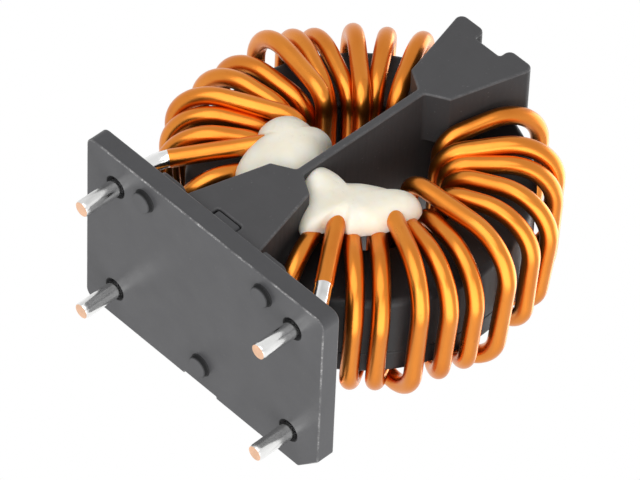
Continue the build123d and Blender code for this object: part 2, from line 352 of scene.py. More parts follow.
def box_loop(x, y, width, depth, radius):
    """Rounded rectangle about a middle point."""
    corners = np.array([(-1, -1), (1, -1), (1, 1), (-1, 1)]) * (width / 2, depth / 2) + (x, y)
    return rounded_loop(corners, radius)


def moved_in(loop, amount):
    """The loop with every side moved inwards by the same amount, along the mitres of its corners."""
    ahead = unit(np.roll(loop, -1, 0) - loop)
    inward = np.stack([-ahead[:, 1], ahead[:, 0]], axis=1)
    other = np.roll(inward, 1, 0)
    mitre = (inward + other) / (1 + np.sum(inward * other, axis=1, keepdims=True))
    return loop + amount * mitre


def edge_round(radius, steps=6):
    """Quarter round from a side to a face: (r - r cos w) inwards and (r - r sin w) below the face."""
    swing = np.linspace(0, np.pi / 2, steps)
    return radius * (1 - np.cos(swing)), radius * (1 - np.sin(swing))


def inside(points, loop):
    """True for points within a closed loop: a ray along +a crosses an odd number of its edges."""
    a, b = points[:, :1], points[:, 1:]
    start, end = loop, np.roll(loop, -1, axis=0)
    rise = end[:, 1] - start[:, 1]
    way = (b - start[:, 1]) / np.where(rise == 0.0, 1.0, rise)
    meets = (start[:, 1] > b) != (end[:, 1] > b)
    return np.sum(meets & (a < start[:, 0] + way * (end[:, 0] - start[:, 0])), axis=1) % 2 == 1


class Shell:
    """Rows of points and the faces between them, gathered into one closed surface.

    A point is (a, b, height). Rows run counter-clockwise seen from above, and a band looks outwards
    when its second row lies above its first one.
    """

    def __init__(self):
        self.rows, self.wear, self.faces = [], [], []
        self.size = 0

    def row(self, loop, height, wear=0.0):
        """Adds a flat loop at a height and returns the numbers of its points."""
        self.rows.append(np.column_stack([loop, np.full(len(loop), height)]))
        self.wear.append(np.full(len(loop), wear))
        self.size += len(loop)
        return np.arange(self.size - len(loop), self.size)

    def band(self, first, second):
        """Quads between two rows of equal length."""
        quads = np.stack([first, np.roll(first, -1), np.roll(second, -1), second], axis=1)
        self.faces += quads.tolist()

    def wall(self, loop, insets, heights, wear):
        """A profile of insets and heights carried round the loop. Returns its first and last row."""
        rows = [self.row(moved_in(loop, i), h, w) for i, h, w in zip(insets, heights, wear)]
        for first, second in zip(rows, rows[1:]):
            self.band(first, second)
        return rows[0], rows[-1]

    def cap(self, rows, up):
        """Triangles inside the first row and outside the others, looking up or down."""
        numbers = np.concatenate(rows)
        flat = np.concatenate(self.rows)[numbers, :2]
        starts = np.cumsum([0] + [len(row) for row in rows])
        loops = [np.arange(start, end) for start, end in zip(starts, starts[1:])]
        edges = np.concatenate([np.stack([loop, np.roll(loop, -1)], axis=1) for loop in loops])
        found = delaunay_2d_cdt([Vector(p) for p in flat], edges.tolist(), [], CAP_OUTPUT, CAP_TOLERANCE)
        source = np.array([origin[0] for origin in found[3]])
        triangles = source[np.array(found[2])]
        a, b, c = (flat[triangles[:, k]] for k in range(3))
        (along, aside), (across, beyond) = (b - a).T, (c - a).T
        turned = (along * beyond - aside * across > 0) != up
        triangles[turned] = triangles[turned][:, ::-1]
        kept = np.ones(len(triangles), bool)
        for loop in loops[1:]:
            kept &= ~inside((a + b + c) / 3.0, flat[loop])
        self.faces += numbers[triangles[kept]].tolist()

    def points(self):
        """All points, in the order of their numbers."""
        return np.concatenate(self.rows)


def closed_rows(rows, first_tip, last_tip):
    """Points and faces of a grid of closed rows with a point at each end."""
    count, sides = rows.shape[:2]
    points = np.concatenate([rows.reshape(-1, 3), [first_tip, last_tip]])
    numbers = np.arange(count * sides).reshape(count, sides)
    ahead = np.roll(numbers, -1, axis=1)
    quads = np.stack([numbers[:-1], ahead[:-1], ahead[1:], numbers[1:]], axis=-1).reshape(-1, 4)
    tips = count * sides + np.zeros(sides, int)
    first = np.stack([ahead[0], numbers[0], tips], axis=-1)
    last = np.stack([numbers[-1], ahead[-1], tips + 1], axis=-1)
    return points, quads.tolist() + first.tolist() + last.tolist()


def turned_rows(profile, steps):
    """A closed (radius, y) profile turned about the ring's axis: (r sin a, y, ring middle - r cos a)."""
    angle = np.linspace(0, 2 * np.pi, steps, endpoint=False)[:, None]
    radius, level = profile[:, 0], np.broadcast_to(profile[:, 1], (steps, len(profile)))
    points = np.stack([radius * np.sin(angle), level, RING_Z - radius * np.cos(angle)], axis=-1)
    numbers = np.arange(steps * len(profile)).reshape(steps, -1)
    ahead = np.roll(numbers, -1, axis=0)
    quads = np.stack([numbers, np.roll(numbers, -1, 1), np.roll(ahead, -1, 1), ahead], axis=-1)
    return points.reshape(-1, 3), quads.reshape(-1, 4).tolist()


def signed_volume(mesh):
    """Volume inside a closed mesh, positive where its faces look outwards."""
    mesh.calc_loop_triangles()
    points = np.empty(len(mesh.vertices) * 3)
    mesh.vertices.foreach_get("co", points)
    corners = np.empty(len(mesh.loop_triangles) * 3, np.int32)
    mesh.loop_triangles.foreach_get("vertices", corners)
    a, b, c = points.reshape(-1, 3)[corners.reshape(-1, 3)].transpose(1, 0, 2)
    return np.sum(a * np.cross(b, c)) / 6


def add_piece(name, node, points, faces, finishes, wear=None, face_finish=None, corner_uv=None):
    """Puts points in millimetres and faces into a piece that stands for a CAD node."""
    mesh = bpy.data.meshes.new(name)
    mesh.from_pydata(points * MM, [], faces)
    if wear is not None:
        # Edge values are wear where positive and painted shade where negative.
        mesh.attributes.new("edge_wear", "FLOAT", "POINT").data.foreach_set("value", wear)
    if corner_uv is not None:
        mesh.uv_layers.new(name="around_along").data.foreach_set("uv", corner_uv.ravel())
    for finish in finishes:
        mesh.materials.append(finish)
    if face_finish is not None:
        mesh.polygons.foreach_set("material_index", face_finish)
    mesh.shade_smooth()
    mesh.set_sharp_from_angle(angle=SHARP_ANGLE)
    if mesh.validate() or signed_volume(mesh) <= 0:
        raise RuntimeError(f"{name} isn't a closed surface that looks outwards")
    piece = bpy.data.objects.new(name, mesh)
    bpy.context.scene.collection.objects.link(piece)
    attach(piece, "root")
    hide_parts(node)
    return piece


class Nodes:
    """A node tree with short calls that add to it."""

    def __init__(self, tree):
        self.tree = tree

    def feed(self, socket, value):
        """Links a socket into another one, or sets a plain value or colour on it."""
        if isinstance(value, bpy.types.NodeSocket):
            self.tree.links.new(value, socket)
        elif socket.type == "RGBA":
            socket.default_value = (*value, 1.0)
        else:
            socket.default_value = value

    def add(self, kind, inputs, output=0, **settings):
        """Adds a node with its inputs and settings and returns one of its outputs."""
        node = self.tree.nodes.new(kind)
        for setting, value in settings.items():
            setattr(node, setting, value)
        for socket, value in inputs.items():
            self.feed(node.inputs[socket], value)
        return node.outputs[output]

    def span(self, value, low, high, start, end):
        """Maps low..high of a value onto start..end, held at both ends."""
        return self.add("ShaderNodeMapRange", {"Value": value, "From Min": low, "From Max": high,
                                               "To Min": start, "To Max": end})


class Finish(Nodes):
    """One Principled material, with short calls for its pattern."""

    def __init__(self, name, constants):
        self.material = bpy.data.materials.new(name)
        self.material.use_nodes = True
        super().__init__(self.material.node_tree)
        self.shader = self.tree.nodes["Principled BSDF"]
        for socket, value in constants.items():
            self.shader.inputs[socket].default_value = value

    def place(self, scale=(1.0, 1.0, 1.0)):
        """Object coordinates in millimetres, stretched by a scale."""
        coordinates = self.add("ShaderNodeTexCoord", {}, "Object")
        return self.add("ShaderNodeMapping", {"Vector": coordinates, "Scale": [s / MM for s in scale]})

    def along_wire(self, scale):
        """Round-and-along coordinates of a wire: turns of its circumference, then millimetres."""
        coordinates = self.add("ShaderNodeUVMap", {}, uv_map="around_along")
        return self.add("ShaderNodeMapping", {"Vector": coordinates, "Scale": scale})

    def noise(self, vector, scale, detail=2.0, roughness=0.5):
        """Noise whose scale is in swings per unit of its vector."""
        return self.add("ShaderNodeTexNoise", {"Vector": vector, "Scale": scale, "Detail": detail,
                                               "Roughness": roughness})

    def times(self, first, second):
        return self.add("ShaderNodeMath", {0: first, 1: second}, operation="MULTIPLY")

    def plus(self, first, second):
        return self.add("ShaderNodeMath", {0: first, 1: second}, operation="ADD")

    def mix(self, factor, first, second):
        """Blends two colours."""
        return self.add("ShaderNodeMix", {0: factor, 6: first, 7: second}, 2, data_type="RGBA")

    def colour(self, value):
        self.feed(self.shader.inputs["Base Color"], value)

    def roughness(self, value):
        self.feed(self.shader.inputs["Roughness"], value)

    def bump(self, height, distance, strength=1.0):
        """Bump from a height whose full swing stands for a distance in millimetres."""
        normal = self.add("ShaderNodeBump", {"Height": height, "Distance": distance * MM,
                                             "Strength": strength})
        self.feed(self.shader.inputs["Normal"], normal)


def scaled(colour, factor):
    """A colour made lighter or darker."""
    return tuple(min(1.0, channel * factor) for channel in colour)


def moulded_plastic(name, base, worn, middle_roughness):
    """Filled moulded plastic: cloudy grey with fine grain, flow streaks, rubbed edges and painted shade where
    the edge value is negative.
    """
    finish = Finish(name, {"IOR": 1.5, "Specular IOR Level": 0.32})
    place = finish.place()
    clouds = finish.noise(place, 0.32, 4.0, 0.6)
    grain = finish.noise(place, 12.0, 3.0, 0.6)
    streaks = finish.noise(finish.place((0.25, 0.25, 2.2)), 1.0, 3.0, 0.55)
    flecks = finish.span(finish.noise(place, 2.6, 2.0), 0.71, 0.76, 0.0, 0.35)
    body = finish.mix(finish.span(clouds, 0.3, 0.7, 0.0, 1.0), scaled(base, 0.94), scaled(base, 1.06))
    body = finish.mix(finish.times(grain, 0.4), body, scaled(base, 0.85))
    edge = finish.add("ShaderNodeAttribute", {}, "Fac", attribute_name="edge_wear")
    specks = finish.span(finish.noise(place, 4.6, 4.0, 0.7), 0.5, 0.64, 0.0, 0.95)
    patches = finish.span(finish.noise(place, 0.5, 3.0), 0.4, 0.62, 0.15, 1.0)
    rubbed = finish.plus(finish.times(specks, patches), finish.times(patches, 0.28))
    wear = finish.plus(finish.times(finish.span(edge, 0.0, 1.0, 0.0, 1.0), rubbed),
                       finish.times(flecks, 0.3))
    # Negative edge values are painted shade: they darken the colour towards a near black copy of the base.
    painted_shade = finish.span(edge, -1.0, 0.0, 0.93, 0.0)
    body = finish.mix(painted_shade, body, scaled(base, 0.08))
    finish.colour(finish.mix(wear, body, worn))
    polish = finish.span(streaks, 0.3, 0.7, middle_roughness - 0.05, middle_roughness + 0.06)
    finish.roughness(finish.plus(polish, finish.times(finish.plus(wear, painted_shade), 0.4)))
    finish.bump(finish.plus(grain, finish.times(streaks, 0.6)), 0.005)
    return finish.material


def enamelled_copper(name, base, thick):
    """Drawn copper under clear enamel: amber clouds along the wire, fine draw lines, few dull spots."""
    finish = Finish(name, {"Metallic": 1.0, "Coat Weight": 0.12, "Coat Roughness": 0.16, "Coat IOR": 1.55})
    clouds = finish.noise(finish.along_wire((2.0, 0.09, 1.0)), 1.0, 3.0, 0.55)
    lines = finish.noise(finish.along_wire((46.0, 0.35, 1.0)), 1.0, 2.0, 0.5)
    place = finish.place()
    spots = finish.span(finish.noise(place, 1.1, 3.0, 0.6), 0.62, 0.74, 0.0, 0.6)
    body = finish.mix(finish.span(clouds, 0.32, 0.7, 0.0, 0.8), base, thick)
    body = finish.mix(finish.times(lines, 0.25), body, thick)
    finish.colour(finish.mix(finish.times(spots, 0.5), body, scaled(thick, 0.8)))
    finish.roughness(finish.plus(finish.span(clouds, 0.3, 0.7, 0.26, 0.33), finish.times(spots, 0.12)))
    finish.bump(finish.plus(lines, finish.times(finish.noise(place, 1.4, 2.0), 1.2)), 0.006)
    return finish.material


def tinned_wire(name, base):
    """Dipped solder: bright, drawn out along the wire, with dull grey streaks."""
    finish = Finish(name, {"Metallic": 1.0})
    runs = finish.noise(finish.along_wire((5.0, 0.2, 1.0)), 1.0, 2.0, 0.5)
    grain = finish.noise(finish.place(), 3.4, 3.0, 0.6)
    finish.colour(finish.mix(finish.span(runs, 0.48, 0.72, 0.0, 0.55), base, scaled(base, 0.4)))
    finish.roughness(finish.span(finish.plus(runs, grain), 0.7, 1.3, 0.1, 0.24))
    finish.bump(finish.plus(runs, finish.times(grain, 0.1)), 0.02)
    return finish.material


def cut_copper(name, base):
    """Sheared copper: pale pink with fine parallel tool lines and a burnished patch."""
    finish = Finish(name, {"Metallic": 0.85})
    lines = finish.noise(finish.place((9.0, 1.1, 1.0)), 1.0, 3.0, 0.6)
    patch = finish.noise(finish.place(), 0.9, 2.0)
    finish.colour(finish.mix(finish.span(patch, 0.35, 0.65, 0.0, 1.0), base, scaled(base, 0.86)))
    finish.roughness(finish.span(lines, 0.3, 0.7, 0.35, 0.55))
    finish.bump(lines, 0.03)
    return finish.material


def cream_adhesive(name, base):
    """Set adhesive: cream, softly glossy, with slow swells, a warmer cast in places and tiny pits."""
    finish = Finish(name, {"Subsurface Weight": 0.5, "Subsurface Radius": (1.6, 1.2, 0.8),
                           "Subsurface Scale": MM, "IOR": 1.45})
    place = finish.place()
    swells = finish.noise(place, 0.45, 2.0)
    pits = finish.span(finish.noise(place, 2.4, 2.0), 0.66, 0.74, 0.0, 1.0)
    warm = (base[0], base[1] * 0.965, base[2] * 0.90)
    body = finish.mix(finish.span(swells, 0.3, 0.7, 0.0, 1.0), base, warm)
    finish.colour(finish.mix(finish.times(pits, 0.25), body, scaled(warm, 0.85)))
    finish.roughness(finish.span(finish.noise(place, 0.9, 3.0), 0.3, 0.7, 0.38, 0.52))
    finish.bump(finish.plus(finish.times(swells, 3.0), finish.times(pits, -0.4)), 0.05)
    return finish.material


def sintered_ferrite(name, base):
    """Sintered ceramic: near black, dull, with a fine granular surface and brownish clouds."""
    finish = Finish(name, {"IOR": 1.8})
    place = finish.place()
    clouds = finish.noise(place, 0.4, 3.0)
    grain = finish.noise(place, 11.0, 3.0, 0.7)
    brown = (base[0] * 1.5, base[1] * 1.3, base[2] * 1.1)
    body = finish.mix(finish.span(clouds, 0.3, 0.7, 0.0, 1.0), base, brown)
    finish.colour(finish.mix(finish.times(grain, 0.4), body, scaled(base, 0.6)))
    finish.roughness(finish.span(grain, 0.3, 0.7, 0.55, 0.75))
    finish.bump(grain, 0.02)
    return finish.material


def plate_outline():
    """The plate seen from above: three round corners, one cut corner and a shallow gate notch."""
    left, front = PLATE_LOW[:2]
    right, rear = PLATE_HIGH[:2]
    inner = rear - GATE_DEPTH
    corners = [(left, front), (right, front), (right, rear - PLATE_CHAMFER), (right - PLATE_CHAMFER, rear),
               (GATE_HALF, rear), (GATE_HALF, inner), (-GATE_HALF, inner), (-GATE_HALF, rear), (left, rear)]
    radii = [PLATE_CORNER_R, PLATE_CORNER_R, CHAMFER_CORNER_R, CHAMFER_CORNER_R,
             GATE_OUTER_R, GATE_INNER_R, GATE_INNER_R, GATE_OUTER_R, PLATE_CORNER_R]
    return rounded_loop(corners, np.array(radii))


def edge_profile(edge, low, high, low_wear_and_shade, high_wear_and_shade):
    """Insets, heights and edge values of a side with a round at both ends and a flat on both sides of each:
    wear where positive, painted shade where negative.
    """
    run, drop = edge_round(edge)
    reach = edge + SUPPORT
    low_round, high_round = np.full(len(run), low_wear_and_shade), np.full(len(run), high_wear_and_shade)
    return (np.concatenate([[reach], run[::-1], [0.0, 0.0], run, [reach]]),
            np.concatenate([[low], low + drop[::-1], [low + reach, high - reach], high - drop, [high]]),
            np.concatenate([[0.0], low_round, [0.0, 0.0], high_round, [0.0]]))


def boss_profile(edge, base, tip, painted_shade=0.0):
    """Insets, heights and edge values of a boss: a fillet at its base, a side with the given painted shade and
    a round at its tip.
    """
    run, drop = edge_round(edge)
    lift = np.sign(tip - base)
    reach = edge + SUPPORT
    side, crown = tip - lift * reach, tip - lift * drop
    return (np.concatenate([[-reach], -run[::-1], [0.0], run, [reach]]),
            np.concatenate([[base], base + lift * drop[::-1], [side], crown, [tip]]),
            np.concatenate([[0.0], np.full(len(run) + 1, painted_shade), np.linspace(painted_shade, 0.0, len(run) + 1)]))


def lead_hole(shell, x, y, edge):
    """A hole through the plate, with painted shade at its rims. Returns its rows on the top and on the
    underside.
    """
    insets, heights, wear = edge_profile(edge, FOOT_H, PLATE_TOP, PAINTED_SHADE, PAINTED_SHADE)
    return shell.wall(circle_loop(x, y, WIRE_R + HOLE_CLEARANCE), -insets[::-1], heights[::-1], wear)


def foot(shell, x, y, edge):
    """A low round foot with painted shade on its side. Returns its row on the plate's underside."""
    insets, heights, wear = boss_profile(edge, FOOT_H, PLATE_LOW[2], PAINTED_SHADE)
    tip, base = shell.wall(circle_loop(x, y, FOOT_R), insets[::-1], heights[::-1], wear[::-1])
    shell.cap([tip], up=False)
    return base


def boss(shell, loop, rise, edge):
    """A boss on the plate's top. Returns its row there."""
    base, tip = shell.wall(loop, *boss_profile(edge, PLATE_TOP, PLATE_TOP + rise))
    shell.cap([tip], up=True)
    return base


def key_loop():
    """The key's outline: it fills the notch in the separator's foot but for a little play."""
    front, rear = SEPARATOR_LOW[1] + KEY_INSET, CASE_FRONT - KEY_INSET
    return box_loop(0.0, (front + rear) / 2, 2 * (NOTCH_HALF - KEY_PLAY), rear - front, KEY_R)


def stop_loop(side):
    """Outline of the stop on one side of the separator's foot."""
    x = side * (SEP_WIDE + KEY_PLAY + STOP_SIZE[0] / 2)
    return box_loop(x, PLATE_LOW[1] + STOP_SETBACK + STOP_SIZE[1] / 2, *STOP_SIZE, STOP_R)


class CHOKE_OT_base_plate(bpy.types.Operator):
    """Base plate moulding with lead holes, feet, key and stops"""

    bl_idname = "choke.base_plate"
    bl_label = "Base plate"

    def execute(self, context):
        edge = context.scene.choke_sizes.plate_edge / MM
        finishes = context.scene.choke_finishes
        shell = Shell()
        bottom, top = shell.wall(
            plate_outline(), *edge_profile(edge, FOOT_H, PLATE_TOP, PLATE_UNDER_WEAR, PLATE_TOP_WEAR))
        holes = [lead_hole(shell, x, y, edge) for y in (-PIN_Y, PIN_Y) for x in (-PIN_X, PIN_X)]
        foot_front, foot_rear = PLATE_LOW[1] + FOOT_FRONT_INSET, PLATE_HIGH[1] - FOOT_REAR_INSET
        feet = [foot(shell, x, y, edge) for x, y in (
            (-FOOT_SPREAD_X, foot_front), (FOOT_SPREAD_X, foot_front), (0.0, foot_rear))]
        bosses = [boss(shell, loop, rise, edge) for loop, rise in (
            (key_loop(), KEY_H), (stop_loop(-1), STOP_H), (stop_loop(1), STOP_H))]
        shell.cap([bottom, *(under for over, under in holes), *feet], up=False)
        shell.cap([top, *(over for over, under in holes), *bosses], up=True)
        plastic = moulded_plastic("plate_plastic", finishes.plate, finishes.worn, PLATE_ROUGHNESS)
        add_piece("base_plate_moulding", "base_plate", shell.points(), shell.faces,
                  [plastic], wear=np.concatenate(shell.wear))
        return {"FINISHED"}


def separator_block(end_z, up):
    """Corners of a block seen from the front, from the wall's right side round its end to the left side."""
    right = np.array([(SEP_WALL, SEP_NOSE_LEN), (SEP_NARROW, SEP_BLOCK_LEN), (SEP_WIDE, 0.0),
                      (NOTCH_HALF, 0.0), (NOTCH_HALF, NOTCH_DEPTH)])
    half = np.column_stack([right[:, 0], end_z + up * right[:, 1]])
    return np.concatenate([half, half[::-1] * (-1, 1)])


def facing_front(points):
    """Turns (across, up, towards the front) into (x, y, z)."""
    return np.stack([points[..., 0], -points[..., 2], points[..., 1]], axis=-1)


class CHOKE_OT_separator(bpy.types.Operator):
    """Separator moulding: foot and head blocks in front of the ring and a thin wall through its hole"""

    bl_idname = "choke.separator"
    bl_label = "Separator"

    def execute(self, context):
        edge = context.scene.choke_sizes.separator_edge / MM
        finishes = context.scene.choke_finishes
        shell = Shell()
        head = separator_block(SEPARATOR_HIGH[2], -1)
        foot = separator_block(PLATE_TOP, 1)[::-1]
        head_radii = [NOSE_R, SEP_CORNER_R, SEP_END_R, SEP_END_R, SEP_CORNER_R]
        foot_radii = [NOSE_R, SEP_CORNER_R, SEP_CORNER_R, SEP_CORNER_R, SEP_CORNER_R]
        radii = np.array(head_radii + head_radii[::-1] + foot_radii + foot_radii[::-1])
        outline = rounded_loop(np.concatenate([head, foot]), radii)
        run, drop = edge_round(edge)
        front, step = -SEPARATOR_LOW[1], -CASE_FRONT
        # The two side rows carry painted shade, which darkens the separator's side walls.
        step_row, front_row = shell.wall(
            outline,
            np.concatenate([[0.0, 0.0], run, [edge + SUPPORT]]),
            np.concatenate([[step, front - edge - SUPPORT], front - drop, [front]]),
            np.concatenate([np.full(2, SEPARATOR_SIDE_PAINTED_SHADE), np.full(len(run), SEPARATOR_WEAR), [0.0]]),
        )
        shell.cap([front_row], up=True)
        half = len(outline) // 2
        top_z, bottom_z = RING_Z + SEP_WALL_REACH, RING_Z - SEP_WALL_REACH
        ends = shell.row(np.array([(SEP_WALL, top_z), (-SEP_WALL, top_z), (-SEP_WALL, bottom_z),
                                   (SEP_WALL, bottom_z)]), step)
        shell.cap([np.concatenate([step_row[1:half - 1], ends[1::-1]])], up=False)
        shell.cap([np.concatenate([step_row[half + 1:-1], ends[:1:-1]])], up=False)
        wall_row = np.concatenate([step_row[:2], ends[:2], step_row[half - 2:half + 2], ends[2:],
                                   step_row[-2:]])
        rear = -SEPARATOR_HIGH[1]
        run, drop = edge_round(WALL_EDGE)
        last_row, first_row = shell.wall(
            shell.points()[wall_row, :2],
            np.concatenate([[WALL_EDGE + SUPPORT], run[::-1], [0.0]]),
            np.concatenate([[rear], rear + drop[::-1], [rear + WALL_EDGE + SUPPORT]]),
            np.concatenate([[0.0], np.full(len(run), SEPARATOR_WEAR), [0.0]]),
        )
        shell.band(first_row, wall_row)
        shell.cap([last_row], up=False)
        plastic = moulded_plastic("separator_plastic", finishes.separator, finishes.worn, SEPARATOR_ROUGHNESS)
        add_piece("separator_moulding", "separator", facing_front(shell.points()),
                  shell.faces, [plastic], wear=np.concatenate(shell.wear))
        return {"FINISHED"}


class CHOKE_OT_case(bpy.types.Operator):
    """Ring case: a deep cup and a shallow lid that meet at a seam"""

    bl_idname = "choke.case"
    bl_label = "Ring case"

    def execute(self, context):
        edge = context.scene.choke_sizes.case_edge / MM
        finishes = context.scene.choke_finishes
        inner, outer = CASE_OUTER_R - CASE_BAND, CASE_OUTER_R
        low, high = inner + CASE_WALL, outer - CASE_WALL
        floor, ceiling = CASE_FRONT + CASE_WALL, CASE_REAR - CASE_WALL
        rim = CASE_RIM_R
        cup = [(inner, CASE_FRONT), (outer, CASE_FRONT), (outer, SEAM_Y), (high, SEAM_Y),
               (high, floor), (low, floor), (low, SEAM_Y), (inner, SEAM_Y)]
        lid = [(inner, SEAM_Y), (low, SEAM_Y), (low, ceiling), (high, ceiling),
               (high, SEAM_Y), (outer, SEAM_Y), (outer, CASE_REAR), (inner, CASE_REAR)]
        cup_radii = [edge, edge, SEAM_GROOVE / 2, rim, rim, rim, rim, rim]
        lid_radii = [rim, rim, rim, rim, rim, SEAM_GROOVE, edge, edge]
        plastic = moulded_plastic("case_plastic", finishes.case, finishes.worn, CASE_ROUGHNESS)
        for name, node, corners, radii in (("case_cup_shell", "case_cup", cup, cup_radii),
                                           ("case_lid_shell", "case_lid", lid, lid_radii)):
            points, faces = turned_rows(rounded_loop(corners, np.array(radii)), CASE_STEPS)
            add_piece(name, node, points, faces, [plastic])
        return {"FINISHED"}


def on_ring(side, radius, angle, level):
    """Points on the ring at angles from straight down: (side r sin a, level, ring middle - r cos a)."""
    turn = np.radians(angle)
    across, up = side * radius * np.sin(turn), RING_Z - radius * np.cos(turn)
    return np.stack(np.broadcast_arrays(across, level, up), axis=-1)


def turn_corners(side, first_angle, lean_shares, loose_shares, bow_shares, sink_shares):
    """Corners of all turns in the order of winding, and the radius of the bend at each.

    Every turn passes the bore from rear to front, bows over the front face, goes back along the outer
    wall and crosses the rear face to the next slot. The wire climbs in the slots that touch the case
    and returns in every second groove between them, further in.
    """
    climbing = np.arange(CLIMBS)
    returning = np.arange(0, CLIMBS - 1, RETURN_STEP) + 0.5
    order = np.concatenate([climbing, returning[::-1]])
    second = order % 1 > 0
    habit = np.argsort(np.argsort(order))
    angle = first_angle + order * (LAST_ANGLE - first_angle) / (CLIMBS - 1)
    lean = angle + np.array(lean_shares)[habit] * LEAN_PITCH
    loose = OUTER_R + np.array(loose_shares)[habit] * WIRE_D
    bow = np.array(bow_shares)[habit] * WIRE_D
    bore_r = np.where(second, SECOND_R, BORE_R) - np.array(sink_shares)[habit] * WIRE_D
    over = np.append(second[1:], True)
    leaving = np.where(over, REAR_OVER, REAR_LEVEL)
    arriving = np.append(REAR_OVER, leaving[:-1])
    corners = np.stack([
        on_ring(side, bore_r, angle, arriving),
        on_ring(side, bore_r, angle, FRONT_LEVEL - bow),
        on_ring(side, loose, lean, FRONT_LEVEL - bow - np.where(second, RETURN_BULGE, FRONT_BULGE)),
        on_ring(side, REAR_R, lean - SLANT_SHARE * LEAN_PITCH,
                leaving + REAR_BULGE - np.where(over, REAR_DIP, 0.0)),
    ], axis=1)
    rear_in = np.where(second, SECOND_BEND_R, INNER_BEND_R)
    front_in = np.where(second, SECOND_BEND_R, INNER_BEND_R + BOW_BEND_SHARE * bow)
    rear_out = np.where(over, RETURN_REAR_BEND_R, REAR_BEND_R)
    radii = np.stack(np.broadcast_arrays(rear_in, front_in, FRONT_BEND_R, rear_out), axis=1)
    return corners.reshape(-1, 3), radii.ravel()


def lengths_along(line):
    """Length of a line from its start to each of its points."""
    return np.append(0.0, np.cumsum(np.linalg.norm(np.diff(line, axis=0), axis=1)))


def evened(line):
    """A line divided into equal steps, then averaged over a bell, with both ends carried on to hold them."""
    along = lengths_along(line)
    even = np.linspace(0.0, along[-1], round(along[-1] / PATH_STEP) + 1)
    line = np.stack([np.interp(even, along, line[:, k]) for k in range(3)], axis=1)
    reach = round(3 * PATH_BLUR / PATH_STEP)
    weights = np.exp(-0.5 * (np.arange(-reach, reach + 1) * PATH_STEP / PATH_BLUR) ** 2)
    weights /= weights.sum()
    padded = np.concatenate([2 * line[0] - line[reach:0:-1], line, 2 * line[-1] - line[-2:-reach - 2:-1]])
    return np.stack([np.convolve(padded[:, k], weights, "valid") for k in range(3)], axis=1)


def winding_path(side, first_angle, front_rise, *habits):
    """The wire's middle line from its rear pin to its front pin.

    The leads join the first and the last bend in the bore, whose turn ends there. Corners are rounded by
    arcs, then the line is evened, as drawn wire has no sudden change of bend.
    """
    turns, turn_radii = (rows[:-2] for rows in turn_corners(side, first_angle, *habits))
    rear_bend = np.array((side * PIN_X, PIN_Y, PLATE_TOP + LEAD_RISE))
    front_bend = np.array((side * PIN_X, -PIN_Y, PLATE_TOP + front_rise))
    rear_knee = rear_bend + (turns[0] - rear_bend) * REAR_KNEE_SHARE
    rear_knee[1] = REAR_OVER
    rear_tip, front_tip = (bend * (1, 1, 0) + (0, 0, PIN_TIP) for bend in (rear_bend, front_bend))
    corners = np.concatenate([[rear_tip, rear_bend, rear_knee], turns, [front_bend, front_tip]])
    radii = np.concatenate([[LEAD_BEND_R, LEAD_KNEE_R], turn_radii, [FRONT_LEAD_BEND_R]])
    arcs = corner_arcs(corners[:-2], corners[1:-1], corners[2:], radii, ARC_STEPS).reshape(-1, 3)
    return evened(np.concatenate([corners[:1], arcs, corners[-1:]]))


def wire_uv(along):
    """Corner coordinates of the wire's quads, (turn of the circumference, length along), then of its tips."""
    turn = np.arange(WIRE_SIDES + 1) / WIRE_SIDES
    left, right, low, high = np.broadcast_arrays(turn[:-1], turn[1:], along[:-1, None], along[1:, None])
    quads = np.stack([left, low, right, low, right, high, left, high], axis=-1).reshape(-1, 2)
    return np.concatenate([quads, np.zeros((2 * WIRE_SIDES * 3, 2))])


def wire_mesh(line, tinned):
    """A circle carried along the line: line + r (cos a · across + sin a · over).

    Across is the direction round the ring, made square to the line; over is square to both. The tinned
    ends are a little thinner than the enamelled wire, and each tip is a flat cut with a small round.
    """
    ahead = unit(np.gradient(line, axis=0))
    along = lengths_along(line)
    from_end = np.minimum(along, along[-1] - along)
    radius = WIRE_R * np.interp(from_end, [0.0, CUT_ROUND, tinned, tinned + ENAMEL_STEP],
                                [CUT_SHARE, TIN_SHARE, TIN_SHARE, ENAMEL_SHARE])
    tips = np.concatenate([[0, 0], np.arange(len(line)), [-1, -1]])
    line, ahead, along, from_end, radius = (part[tips] for part in (line, ahead, along, from_end, radius))
    radius[[0, -1]] *= CUT_FACE_SHARE
    radius[[1, -2]] *= CUT_RIM_SHARE
    round_ring = np.stack([RING_Z - line[:, 2], np.zeros(len(line)), line[:, 0]], axis=1)
    across = unit(round_ring - np.sum(round_ring * ahead, axis=1, keepdims=True) * ahead)
    over = np.cross(ahead, across)
    angle = np.linspace(0, 2 * np.pi, WIRE_SIDES, endpoint=False)[:, None]
    spokes = np.cos(angle) * across[:, None] + np.sin(angle) * over[:, None]
    points, faces = closed_rows(line[:, None] + radius[:, None, None] * spokes, line[0], line[-1])
    finish = np.where((from_end[:-1] + from_end[1:]) / 2 < tinned, TIN, ENAMEL)
    finish[[0, 1, -1, -2]] = CUT
    face_finish = np.concatenate([np.repeat(finish, WIRE_SIDES), np.full(2 * WIRE_SIDES, CUT)])
    return points, faces, face_finish, wire_uv(along)


